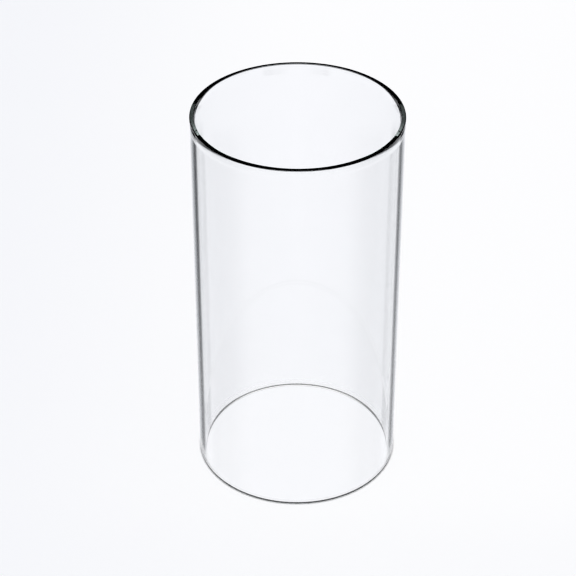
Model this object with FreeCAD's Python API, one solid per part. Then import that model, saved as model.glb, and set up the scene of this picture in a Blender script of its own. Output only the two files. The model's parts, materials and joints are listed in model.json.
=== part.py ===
# Open-ended glass hurricane shade: one length of clear drawn glass tube.
# It stands on its ground foot round a candle. Its rim is melted: the mouth opens a little there, and the wall
# thins from inside to a narrow flat lip.
# Lengths in millimetres, +Z up, origin at the centre of the foot, on the surface it stands on.
import FreeCAD
import Part
from FreeCAD import Vector
import os

# Tube
outer_diameter = 102.0
height = 198.5
wall = 2.8

# Melted rim: a faint flare outside, the lip's rounded outer corner, and the long taper that opens the bore
flare_out = 0.13
flare_height = 5.4
lip_corner_radius = 0.65
taper_across = 1.1
taper_down = 4.9

# Foot, cut square and ground flat, with its two sharp corners taken off
foot_corner_radius = 0.5

# Places that follow from the sizes above
outer_radius = outer_diameter / 2
bore_radius = outer_radius - wall
mouth_radius = outer_radius + flare_out
flare_top = height - lip_corner_radius
flare_foot = flare_top - flare_height
taper_foot = height - taper_down
foot_corner = min(foot_corner_radius, wall / 2)

quarter_turn = Vector(1, 0, 0).getAngle(Vector(0, 0, 1))
full_turn = 360.0


def wall_point(radius, level):
    """A point of the wall's section, at a radius from the axis and a level above the foot."""
    return Vector(radius, 0, level)


def arc_about(centre, start, end):
    """The shorter arc from start to end round a centre."""
    radius = (start - centre).Length
    midway = (start - centre + end - centre).normalize() * radius
    return Part.Arc(start, centre + midway, end)


def foot_arc(face_radius, inward):
    """A quarter circle that rounds one corner of the foot. inward is -1 on the outer face and 1 in the bore."""
    centre = wall_point(face_radius + inward * foot_corner, foot_corner)
    on_face = wall_point(face_radius, foot_corner)
    on_end = wall_point(face_radius + inward * foot_corner, 0)
    return arc_about(centre, on_face, on_end)


def flare_arcs():
    """Two equal arcs in a shallow S, from the straight outer face out to the mouth's own radius."""
    start = wall_point(outer_radius, flare_foot)
    end = wall_point(mouth_radius, flare_top)
    middle = (start + end) / 2
    radius = (flare_height**2 + flare_out**2) / (4 * flare_out)
    lower = arc_about(start + wall_point(radius, 0), start, middle)
    upper = arc_about(end - wall_point(radius, 0), middle, end)
    return [lower, upper]


def lip_arc():
    """A quarter circle that rounds the lip's outer corner."""
    centre = wall_point(mouth_radius - lip_corner_radius, flare_top)
    return arc_about(centre, wall_point(mouth_radius, flare_top), wall_point(centre.x, height))


def taper_arc():
    """A quarter ellipse down the inside, from the lip to the straight bore."""
    centre = wall_point(bore_radius + taper_across, taper_foot)
    on_lip = centre + wall_point(0, taper_down)
    on_bore = wall_point(bore_radius, taper_foot)
    return Part.ArcOfEllipse(Part.Ellipse(on_lip, on_bore, centre), 0, quarter_turn)


def wall_section():
    """The closed outline of the wall in the XZ plane."""
    outer_face = Part.LineSegment(wall_point(outer_radius, foot_corner), wall_point(outer_radius, flare_foot))
    lip_outside = wall_point(mouth_radius - lip_corner_radius, height)
    lip = Part.LineSegment(lip_outside, wall_point(bore_radius + taper_across, height))
    bore_face = Part.LineSegment(wall_point(bore_radius, taper_foot), wall_point(bore_radius, foot_corner))
    foot_inside = wall_point(bore_radius + foot_corner, 0)
    foot = Part.LineSegment(foot_inside, wall_point(outer_radius - foot_corner, 0))
    rim = [*flare_arcs(), lip_arc(), lip, taper_arc()]
    edges = [outer_face, *rim, bore_face, foot_arc(bore_radius, 1), foot, foot_arc(outer_radius, -1)]
    outline = Part.Wire(Part.__sortEdges__([edge.toShape() for edge in edges]))
    return Part.Face(outline)


def glass_tube():
    """The whole shade, its wall's section turned about the axis."""
    return wall_section().revolve(Vector(0, 0, 0), Vector(0, 0, 1), full_turn)


def main():
    os.makedirs("parts", exist_ok=True)
    shade = glass_tube()
    shade.exportStep("parts/glass_tube.step")
    print("glass_tube: valid", shade.isValid(), "volume mm3", round(shade.Volume, 1))


main()
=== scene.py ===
import json
import math

import bmesh
import bpy
from mathutils import Matrix, Vector


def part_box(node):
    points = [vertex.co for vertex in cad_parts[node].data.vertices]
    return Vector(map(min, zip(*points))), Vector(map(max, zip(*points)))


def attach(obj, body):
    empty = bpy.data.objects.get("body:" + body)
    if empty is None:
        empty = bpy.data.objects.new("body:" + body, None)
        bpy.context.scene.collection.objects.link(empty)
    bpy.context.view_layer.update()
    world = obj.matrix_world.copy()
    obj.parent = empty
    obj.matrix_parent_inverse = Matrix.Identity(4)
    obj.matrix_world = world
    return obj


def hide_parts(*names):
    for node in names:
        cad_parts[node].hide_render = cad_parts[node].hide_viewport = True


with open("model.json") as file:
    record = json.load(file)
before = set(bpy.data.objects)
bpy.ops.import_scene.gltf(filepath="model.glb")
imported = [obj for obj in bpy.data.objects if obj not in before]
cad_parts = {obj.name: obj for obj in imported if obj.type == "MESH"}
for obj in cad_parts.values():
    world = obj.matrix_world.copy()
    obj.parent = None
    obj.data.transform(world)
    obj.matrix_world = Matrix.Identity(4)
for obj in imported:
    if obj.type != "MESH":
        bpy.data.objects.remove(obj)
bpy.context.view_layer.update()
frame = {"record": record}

# Sizes of the tube, in metres
MM_PER_M = 1000
RADII = {m["name"]: m["dims"]["r_mm"] / MM_PER_M for m in frame["record"]["mounts"] if "r_mm" in m["dims"]}
OUTER = RADII["outside"]
BORE = RADII["bore"]
tube_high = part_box("glass_tube")[1]
HEIGHT = tube_high.z
MOUTH = tube_high.x

# The melted rim and the foot: the flare's height, and how far each corner is rounded across the wall and
# down it
FLARE_HEIGHT = 0.00540
RIM_OUTSIDE = (0.00065, 0.00065)
RIM_INSIDE = (0.00110, 0.00490)
FOOT_CORNER = (0.00050, 0.00050)

# Rings of the mesh. Short faces beside each corner keep its shading off the long wall
TURNS = 512
ARC_STEPS = 24
WALL_STEPS = 24
GUARDS = (0.0001, 0.0005)

# Glass
GLASS_IOR = 1.49
TINT_COLOUR = (0.80, 0.96, 0.93, 1)
TINT_DENSITY = 4.0
WIPED_COLOUR = (0.985, 0.985, 0.985, 1)
WIPED_SCALE = 60.0
WIPED_DETAIL = 3.0
DRAW_SCALE = (40.0, 40.0, 2.0)
DRAW_DETAIL = 1.0
DRAW_DEPTH = 0.000004
GROUND_ROUGHNESS = 0.7
GROUND_LEVEL = 0.0001

# Colours of the studio's light, and of its backdrop and floor as the camera sees them. The floor's painted
# light goes from the pale colour on its left to the paler one on its right
WHITE = (1, 1, 1, 1)
PALE = (0.913, 0.923, 0.960, 1)
PAINTED_LIGHT_PALE = (0.983, 0.985, 0.998, 1)

# Colours of the room's light and dark parts, and of the floor, as the glass sees them
ROOM_LIGHT = (0.958, 0.964, 1.0, 1)
ROOM_DARK = (0.88, 0.92, 1.0, 1)
FLOOR_LIGHT = (0.966, 0.971, 1.0, 1)
# Painted shade on the floor inside the tube where the wall mirrors it: what one wall of the tube lets through
PAINTED_WALL_SHADE = (0.92, 0.92, 0.92, 1)

# How light the room is, by degrees to the left (+) or right (-) of straight ahead of a viewer: a bright
# backdrop, a dark gap at each of its sides, and side walls that fade
AHEAD = [
    (-97, 0.60), (-82, 0.72), (-70, 0.70), (-64, 0.80), (-58, 0.92), (-52, 1.00), (-38, 1.00),
    (-36.5, 0.74), (-35, 0.25), (-33.5, 0.02), (-31, 0.00), (-28, 0.24), (-24, 0.42), (-20, 0.50),
    (-18, 0.60), (-15.5, 0.82), (-12, 0.90), (-6, 0.96), (0, 1.00), (6, 0.96), (12, 0.91), (15.5, 0.78),
    (18, 0.52), (20, 0.40), (25, 0.33), (28, 0.20), (31, 0.00), (34, 0.00), (36, 0.08), (38, 0.40),
    (40, 0.88), (43, 1.00), (52, 1.00), (58, 0.95), (64, 0.80), (70, 0.70), (82, 0.72), (97, 0.66),
]
# The photograph's room: the way that its viewer looks, in degrees about Z from +Y, how far to each side the
# table holds, and from how far off straight ahead the room has one level, which is the room behind the viewer
PHOTO_LOOKS = (225,)
PHOTO_REACH = 97
PHOTO_BEHIND = 125
BEHIND_LEVEL = 0.97
# The rooms of the other views. They have the table's dark gaps alone, about two or four ways of looking
TWO_LOOKS = (45, 225)
ALL_LOOKS = (45, 135, 225, 315)
GAPS_REACH = 52
GAPS_BEHIND = 58
GAPS_LEVEL = 1.0
# Degrees above the horizon where the mirrored room changes: the floor ends, then the photograph's room, a
# plain strip, the gaps of two looks and the gaps of all four, with a dark ceiling above them
FLOOR_END = -46
PHOTO_END = -30.5
PLAIN_END = -28.7
TWO_END = -9
ALL_END = 11
CEILING_LEVEL = 0.01
# The room's floor is dark on the photograph's far side alone. It darkens there as a ray's way turns to that
# side, between these shares of it
FLOOR_DARK = (0.15, 0.35)
FLOOR_LEVEL = 0.10
BAND_BLUR = 0.4
ROUND_STEPS = 240

# Floor, with the places between which its painted light changes, in metres to the right of the tube or beyond
# it: it is painted paler to the right, and less so in front of the tube
FLOOR_RADIUS = 4.0
FLOOR_STEPS = 128
FLOOR_GAP = 0.0002
FLOOR_PAINTED_LIGHT = (-0.24, 0.03)
FLOOR_PAINTED_LIGHT_FADE = (-0.03, -0.10)
FLOOR_PAINTED_LIGHT_FRONT = 0.65
# How much of the floor the glass sees, by metres from the axis. For the rest it sees the room through it
FLOOR_SEEN = [
    (0.0, 1.0), (0.052, 1.0), (0.054, 0.20), (0.07, 0.18), (0.10, 0.16), (0.14, 0.11), (0.22, 0.04),
    (0.30, 0.0), (0.4, 0.0),
]
FLOOR_REACH = FLOOR_SEEN[-1][0]
# Painted light and shade under the foot, a glow that the glass sees: how light the floor looks right under
# the foot at the tube's sides and front, and at its back, where the light comes in. It changes between these
# metres beyond the axis
UNDER_FOOT = (0.10, 1.0)
UNDER_BACK = (0.022, 0.044)

# Camera, at the photograph's viewing angle
CAMERA_LOOK = math.radians(225)
CAMERA_AWAY = 15.761 * OUTER
CAMERA_LEVEL = 13.000 * OUTER
CAMERA_PITCH = math.radians(35.094)
CAMERA_YAW = math.radians(-0.3247)
CAMERA_LENS = 122.70
TURN_TO_LOOK = Matrix.Rotation(CAMERA_LOOK, 3, "Z")
RIGHTWARD = TURN_TO_LOOK @ Vector((1, 0, 0))
AWAY = TURN_TO_LOOK @ Vector((0, 1, 0))

# Times that light may turn. It runs a long way inside the wall, from the rim to the foot
REFLECTIONS = 14
REFRACTIONS = 16
FILTER_WIDTH = 1.3


def corner(face, end, size, inward, upward):
    """Points (radius, level) of one rounded corner of the wall, from its face to the end of the tube."""
    across, down = size
    points = []
    for i in range(ARC_STEPS + 1):
        turn = math.pi / 2 * i / ARC_STEPS
        radius = face + inward * across * (1 - math.cos(turn))
        level = end - upward * down * (1 - math.sin(turn))
        points.append((radius, level))
    return points


def flare(bottom, top):
    """Points of the faint flare outside the rim, from the straight wall out to the mouth."""
    points = []
    for i in range(ARC_STEPS):
        share = i / ARC_STEPS
        out = (1 - math.cos(math.pi * share)) / 2
        points.append((OUTER + (MOUTH - OUTER) * out, bottom + (top - bottom) * share))
    return points


def wall_levels(bottom, top):
    """Levels of the rings on one face of the wall, close together beside its two corners."""
    inner = [bottom + (top - bottom) * i / WALL_STEPS for i in range(1, WALL_STEPS)]
    return [bottom + guard for guard in GUARDS] + inner + [top - guard for guard in reversed(GUARDS)]


def wall_outline():
    """The closed outline of the wall: up the outside, over the rim, down the bore and across the foot."""
    flare_top = HEIGHT - RIM_OUTSIDE[1]
    flare_foot = flare_top - FLARE_HEIGHT
    outside = [(OUTER, z) for z in wall_levels(FOOT_CORNER[1], flare_foot)]
    rim_out = corner(MOUTH, HEIGHT, RIM_OUTSIDE, -1, 1)
    rim_in = corner(BORE, HEIGHT, RIM_INSIDE, 1, 1)
    inside = [(BORE, z) for z in wall_levels(FOOT_CORNER[1], HEIGHT - RIM_INSIDE[1])]
    foot_in = corner(BORE, 0.0, FOOT_CORNER, 1, -1)
    foot_out = corner(OUTER, 0.0, FOOT_CORNER, -1, -1)
    rim = flare(flare_foot, flare_top) + rim_out + rim_in[::-1]
    return outside + rim + inside[::-1] + foot_in + foot_out[::-1]


def lathe(name, outline):
    """A smooth mesh of an outline turned about the tube's axis."""
    mesh = bmesh.new()
    rings = []
    for k in range(TURNS):
        angle = 2 * math.pi * k / TURNS
        rings.append([mesh.verts.new((r * math.cos(angle), r * math.sin(angle), z)) for r, z in outline])
    for ring, after in zip(rings, rings[1:] + rings[:1]):
        for i in range(len(outline)):
            j = (i + 1) % len(outline)
            mesh.faces.new((ring[i], after[i], after[j], ring[j])).smooth = True
    data = bpy.data.meshes.new(name)
    mesh.to_mesh(data)
    mesh.free()
    piece = bpy.data.objects.new(name, data)
    bpy.context.scene.collection.objects.link(piece)
    return piece


class Net:
    """Adds shader nodes to a node tree. Every call but node and feed gives the new node's output."""

    def __init__(self, tree):
        self.tree = tree
        tree.nodes.clear()

    def node(self, kind, **settings):
        made = self.tree.nodes.new(kind)
        for key, value in settings.items():
            setattr(made, key, value)
        return made

    def feed(self, socket, value):
        if isinstance(value, bpy.types.NodeSocket):
            self.tree.links.new(value, socket)
        else:
            socket.default_value = value

    def math(self, operation, *values):
        made = self.node("ShaderNodeMath", operation=operation)
        for socket, value in zip(made.inputs, values):
            self.feed(socket, value)
        return made.outputs[0]

    def smooth(self, value, start, end, low=0.0, high=1.0):
        """Goes smoothly from low to high as a value goes from start to end."""
        made = self.node("ShaderNodeMapRange", interpolation_type="SMOOTHSTEP")
        for socket, given in zip(made.inputs, (value, start, end, low, high)):
            self.feed(socket, given)
        return made.outputs[0]

    def blend(self, share, first, second):
        """Goes from the first number to the second as the share goes from 0 to 1, and no further."""
        made = self.node("ShaderNodeMix", data_type="FLOAT")
        for socket, given in zip((made.inputs[0], made.inputs[2], made.inputs[3]), (share, first, second)):
            self.feed(socket, given)
        return made.outputs[0]

    def colour(self, share, first, second):
        """The same with colours, which have their own sockets on the node."""
        made = self.node("ShaderNodeMix", data_type="RGBA")
        for socket, given in zip((made.inputs[0], made.inputs[6], made.inputs[7]), (share, first, second)):
            self.feed(socket, given)
        return made.outputs[2]

    def shader(self, share, first, second):
        made = self.node("ShaderNodeMixShader")
        for socket, given in zip(made.inputs, (share, first, second)):
            self.feed(socket, given)
        return made.outputs[0]

    def along(self, place, way):
        """How far a place lies from the origin along a way."""
        made = self.node("ShaderNodeVectorMath", operation="DOT_PRODUCT")
        self.feed(made.inputs[0], place)
        made.inputs[1].default_value = way
        return made.outputs["Value"]

    def away(self, place):
        """How far a place lies from the origin."""
        made = self.node("ShaderNodeVectorMath", operation="LENGTH")
        self.feed(made.inputs[0], place)
        return made.outputs["Value"]

    def noise(self, place, scale, detail):
        made = self.node("ShaderNodeTexNoise")
        self.feed(made.inputs["Vector"], place)
        made.inputs["Scale"].default_value = scale
        made.inputs["Detail"].default_value = detail
        return made.outputs[0]

    def curve(self, value, table):
        """A table of (0 to 1, level) rows as straight runs from row to row."""
        made = self.node("ShaderNodeFloatCurve")
        line = made.mapping.curves[0]
        line.points[0].location, line.points[-1].location = table[0], table[-1]
        for row in table[1:-1]:
            line.points.new(*row)
        for point in line.points:
            point.handle_type = "VECTOR"
        made.mapping.update()
        self.feed(made.inputs["Value"], value)
        return made.outputs[0]


def clear_glass():
    """Clear drawn glass, very slightly uneven and wiped clean. It is green where light runs in the wall."""
    material = bpy.data.materials.new("clear_glass")
    material.use_nodes = True
    net = Net(material.node_tree)
    place = net.node("ShaderNodeTexCoord").outputs["Object"]
    # Long, faint draw lines up the tube
    drawn = net.node("ShaderNodeMapping")
    drawn.inputs["Scale"].default_value = DRAW_SCALE
    net.feed(drawn.inputs["Vector"], place)
    uneven = net.node("ShaderNodeBump")
    uneven.inputs["Distance"].default_value = DRAW_DEPTH
    net.feed(uneven.inputs["Height"], net.noise(drawn.outputs[0], 1.0, DRAW_DETAIL))
    # A trace of wiping marks
    wiped = net.noise(place, WIPED_SCALE, WIPED_DETAIL)
    glass = net.node("ShaderNodeBsdfPrincipled")
    glass.inputs["IOR"].default_value = GLASS_IOR
    glass.inputs["Transmission Weight"].default_value = 1.0
    net.feed(glass.inputs["Base Color"], net.colour(wiped, WIPED_COLOUR, WHITE))
    net.feed(glass.inputs["Normal"], uneven.outputs[0])
    # The foot is ground
    level = net.along(place, (0, 0, 1))
    net.feed(glass.inputs["Roughness"], net.smooth(level, GROUND_LEVEL, 0.0, 0.0, GROUND_ROUGHNESS))
    tint = net.node("ShaderNodeVolumeAbsorption")
    tint.inputs["Color"].default_value = TINT_COLOUR
    tint.inputs["Density"].default_value = TINT_DENSITY
    out = net.node("ShaderNodeOutputMaterial")
    net.feed(out.inputs["Surface"], glass.outputs[0])
    net.feed(out.inputs["Volume"], tint.outputs[0])
    return material


def glass_shade():
    """The whole object."""
    shade = lathe("hurricane_shade_glass", wall_outline())
    shade.data.materials.append(clear_glass())
    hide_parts("glass_tube")
    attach(shade, "root")


def table_level(table, value):
    """The level at a value between a table's rows."""
    for (a, low), (b, high) in zip(table, table[1:]):
        if a <= value <= b:
            return low + (high - low) * (value - a) / (b - a)
    return table[-1][1]


def all_round(looks, reach, behind, level):
    """The room's levels all round, from -180 to 180 degrees about Z, as rows from 0 to 1.

    Each look has the table's levels as far as the reach to its sides, and one level from so many degrees
    off, which is behind it. Where looks differ, the darker counts.
    """
    ahead = [row for row in AHEAD if abs(row[0]) <= reach]
    table = [(-180, level), (-behind, level)] + ahead + [(behind, level), (180, level)]
    rows = []
    for i in range(ROUND_STEPS + 1):
        offs = [(360 * i / ROUND_STEPS - look) % 360 - 180 for look in looks]
        rows.append((i / ROUND_STEPS, min(table_level(table, off) for off in offs)))
    return rows


def glass_ray(net):
    """1 for a ray that the glass has bent or reflected on its way from the camera, 0 for any other."""
    path = net.node("ShaderNodeLightPath")
    glassy = net.math("MAXIMUM", path.outputs["Is Glossy Ray"], path.outputs["Is Transmission Ray"])
    return net.math("MULTIPLY", glassy, net.math("LESS_THAN", path.outputs["Diffuse Depth"], 0.5))


def room_level(net):
    """How light the room is along a glass ray, by whether the glass has mirrored the ray."""
    outward = net.node("ShaderNodeTexCoord").outputs["Generated"]
    way = net.node("ShaderNodeSeparateXYZ")
    net.feed(way.inputs[0], outward)
    x, y, z = way.outputs
    turn = net.math("ARCTAN2", net.math("MULTIPLY", x, -1.0), y)
    share = net.math("MULTIPLY_ADD", turn, 0.5 / math.pi, 0.5)
    lift = net.math("MULTIPLY", net.math("ARCSINE", z), 180 / math.pi)

    def change(height, below, above):
        """The room below a height and the room above it."""
        return net.blend(net.smooth(lift, height - BAND_BLUR, height + BAND_BLUR), below, above)

    photo_room = net.curve(share, all_round(PHOTO_LOOKS, PHOTO_REACH, PHOTO_BEHIND, BEHIND_LEVEL))
    two_gaps = net.curve(share, all_round(TWO_LOOKS, GAPS_REACH, GAPS_BEHIND, GAPS_LEVEL))
    all_gaps = net.curve(share, all_round(ALL_LOOKS, GAPS_REACH, GAPS_BEHIND, GAPS_LEVEL))
    floor = net.smooth(net.along(outward, AWAY), *FLOOR_DARK, BEHIND_LEVEL, FLOOR_LEVEL)
    straight = change(FLOOR_END, floor, all_gaps)
    mirrored = change(FLOOR_END, floor, photo_room)
    mirrored = change(PHOTO_END, mirrored, BEHIND_LEVEL)
    mirrored = change(PLAIN_END, mirrored, two_gaps)
    mirrored = change(TWO_END, mirrored, all_gaps)
    mirrored = change(ALL_END, mirrored, CEILING_LEVEL)
    return net.blend(net.node("ShaderNodeLightPath").outputs["Glossy Depth"], straight, mirrored)


def studio_light():
    """Soft white light from all round. The camera sees it pale, and the glass sees the room's parts."""
    world = bpy.data.worlds.new("studio")
    world.use_nodes = True
    bpy.context.scene.world = world
    net = Net(world.node_tree)
    plain = net.colour(net.node("ShaderNodeLightPath").outputs["Is Camera Ray"], WHITE, PALE)
    seen = room_level(net)
    glassy = glass_ray(net)
    light = net.node("ShaderNodeBackground")
    net.feed(light.inputs["Color"], net.colour(glassy, plain, net.colour(seen, ROOM_DARK, ROOM_LIGHT)))
    net.feed(light.inputs["Strength"], net.blend(glassy, 1.0, seen))
    net.feed(net.node("ShaderNodeOutputWorld").inputs["Surface"], light.outputs[0])


def floor_paint():
    """Matt and pale, painted paler to the right. The glass sees the room through it away from the tube, and a
    painted glow of light and shade under the foot.

    Where the wall mirrors the floor inside the tube, it sees the room there too, through its other side,
    darkened by painted shade for what that wall lets through.
    """
    material = bpy.data.materials.new("studio_floor")
    material.use_nodes = True
    net = Net(material.node_tree)
    place = net.node("ShaderNodeNewGeometry").outputs["Position"]
    from_axis = net.away(place)
    beyond = net.along(place, AWAY)
    glassy = glass_ray(net)
    # Painted light and shade: the floor's colour is paler to the right of the tube and less so in front of it
    painted_light = net.smooth(net.along(place, RIGHTWARD), *FLOOR_PAINTED_LIGHT)
    painted_light = net.math("MULTIPLY", painted_light, net.smooth(beyond, *FLOOR_PAINTED_LIGHT_FADE, 1.0, FLOOR_PAINTED_LIGHT_FRONT))
    matt = net.node("ShaderNodeBsdfDiffuse")
    net.feed(matt.inputs["Color"], net.colour(glassy, net.colour(painted_light, PALE, PAINTED_LIGHT_PALE), FLOOR_LIGHT))
    # Painted light and shade under the foot: an emission that the glass sees, dim at the tube's front and
    # sides and bright at its back
    painted_glow = net.node("ShaderNodeEmission")
    net.feed(painted_glow.inputs["Strength"], net.smooth(beyond, *UNDER_BACK, *UNDER_FOOT))
    under = net.math("COMPARE", from_axis, (OUTER + BORE) / 2, (OUTER - BORE) / 2)
    lit = net.shader(net.math("MULTIPLY", glassy, under), matt.outputs[0], painted_glow.outputs[0])
    seen_rows = [(distance / FLOOR_REACH, seen) for distance, seen in FLOOR_SEEN]
    near = net.curve(net.math("DIVIDE", from_axis, FLOOR_REACH), seen_rows)
    # Painted shade: where the wall mirrors the floor inside the tube, the floor turns clear and darkens what
    # is seen through it by what one wall lets through
    mirrors = net.node("ShaderNodeLightPath").outputs["Glossy Depth"]
    inside = net.math("LESS_THAN", from_axis, BORE)
    mirrored = net.math("MULTIPLY", net.math("GREATER_THAN", mirrors, 0.5), inside)
    near = net.math("MULTIPLY", near, net.math("SUBTRACT", 1.0, mirrored))
    clear = net.node("ShaderNodeBsdfTransparent")
    net.feed(clear.inputs["Color"], net.colour(mirrored, WHITE, PAINTED_WALL_SHADE))
    mix = net.shader(net.math("MULTIPLY", glassy, net.math("SUBTRACT", 1.0, near)), lit, clear.outputs[0])
    net.feed(net.node("ShaderNodeOutputMaterial").inputs["Surface"], mix)
    return material


def studio_floor():
    """A plain pale floor."""
    mesh = bmesh.new()
    bmesh.ops.create_circle(mesh, cap_ends=True, segments=FLOOR_STEPS, radius=FLOOR_RADIUS)
    data = bpy.data.meshes.new("studio_floor")
    mesh.to_mesh(data)
    mesh.free()
    data.materials.append(floor_paint())
    floor = bpy.data.objects.new("studio_floor", data)
    floor.location.z = -FLOOR_GAP
    bpy.context.scene.collection.objects.link(floor)


def photo_camera():
    """The photograph's point of view."""
    lens = bpy.data.cameras.new("photo_camera")
    lens.lens = CAMERA_LENS
    camera = bpy.data.objects.new("photo_camera", lens)
    bpy.context.scene.collection.objects.link(camera)
    level = math.cos(CAMERA_PITCH)
    ahead = Vector((math.sin(CAMERA_YAW) * level, math.cos(CAMERA_YAW) * level, -math.sin(CAMERA_PITCH)))
    camera.location = TURN_TO_LOOK @ Vector((0, -CAMERA_AWAY, CAMERA_LEVEL))
    camera.rotation_euler = (TURN_TO_LOOK @ ahead).to_track_quat("-Z", "Y").to_euler()
    bpy.context.scene.camera = camera


glass_shade()
studio_light()
studio_floor()
photo_camera()

scene = bpy.context.scene
scene.view_settings.view_transform = "Standard"
scene.cycles.max_bounces = max(REFLECTIONS, REFRACTIONS)
scene.cycles.glossy_bounces = REFLECTIONS
scene.cycles.transmission_bounces = REFRACTIONS
scene.cycles.blur_glossy = 0.0
scene.cycles.filter_width = FILTER_WIDTH
